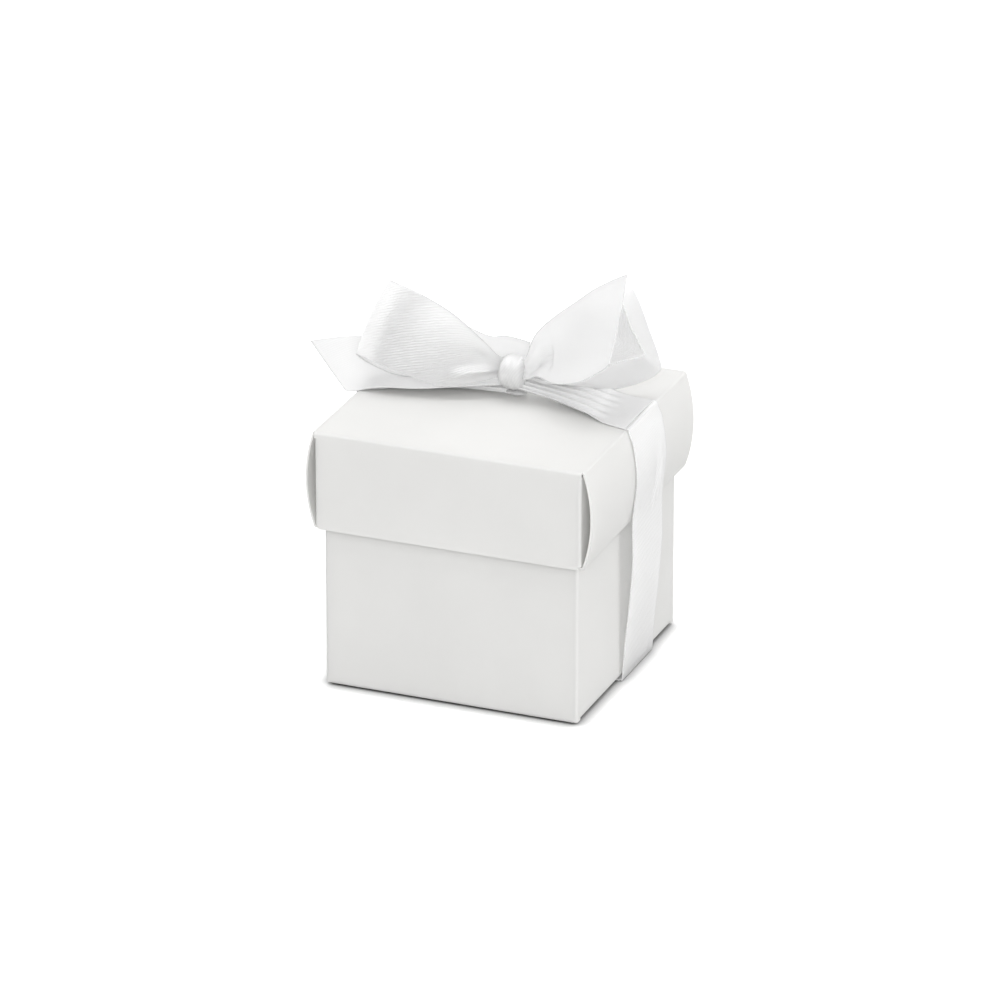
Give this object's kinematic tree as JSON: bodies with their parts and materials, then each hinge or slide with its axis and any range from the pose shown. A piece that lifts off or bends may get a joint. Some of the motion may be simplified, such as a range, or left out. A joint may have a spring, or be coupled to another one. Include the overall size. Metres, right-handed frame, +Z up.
{
  "type": "favor box",
  "caption": "Square two-piece gift box of folded white card: a loose lid with rolled side walls over a locking base, tied with a satin ribbon and bow.",
  "frame": {"origin": "on the table, under the middle of the base, on the underside of the ribbon", "axes": "+Z up through the lid, +X to the right along the front wall, -Y out of the front wall"},
  "size_m": [0.0677, 0.052, 0.0775],
  "materials": {
    "white_card": "matte",
    "satin_ribbon": "satin"
  },
  "bodies": {
    "base": {"base_front_wall": "white_card", "base_right_wall": "white_card", "base_left_wall": "white_card", "base_back_wall": "white_card", "base_glue_flap": "white_card", "base_lock_flap": "white_card", "base_back_flap": "white_card", "base_left_flap": "white_card", "base_right_flap": "white_card", "ribbon_under_strap": "satin_ribbon", "ribbon_left_strap": "satin_ribbon", "ribbon_right_strap": "satin_ribbon"},
    "lid": {"lid_top_panel": "white_card", "lid_front_wall": "white_card", "lid_back_wall": "white_card", "lid_front_left_tab": "white_card", "lid_front_right_tab": "white_card", "lid_back_left_tab": "white_card", "lid_back_right_tab": "white_card", "lid_left_wall": "white_card", "lid_right_wall": "white_card", "lid_left_inner_panel": "white_card", "lid_right_inner_panel": "white_card", "ribbon_knot": "satin_ribbon", "ribbon_half_knot": "satin_ribbon", "ribbon_left_loop": "satin_ribbon", "ribbon_right_loop": "satin_ribbon", "ribbon_left_tail": "satin_ribbon", "ribbon_right_tail": "satin_ribbon", "ribbon_top_left_strap": "satin_ribbon", "ribbon_top_right_strap": "satin_ribbon"}
  },
  "joints": [
    {"name": "lid_lift", "type": "slide", "parent": "base", "child": "lid", "axis": [0, 0, 1], "range_m": [0, 0.04], "deforming": ["ribbon_left_strap", "ribbon_right_strap"]}
  ]
}
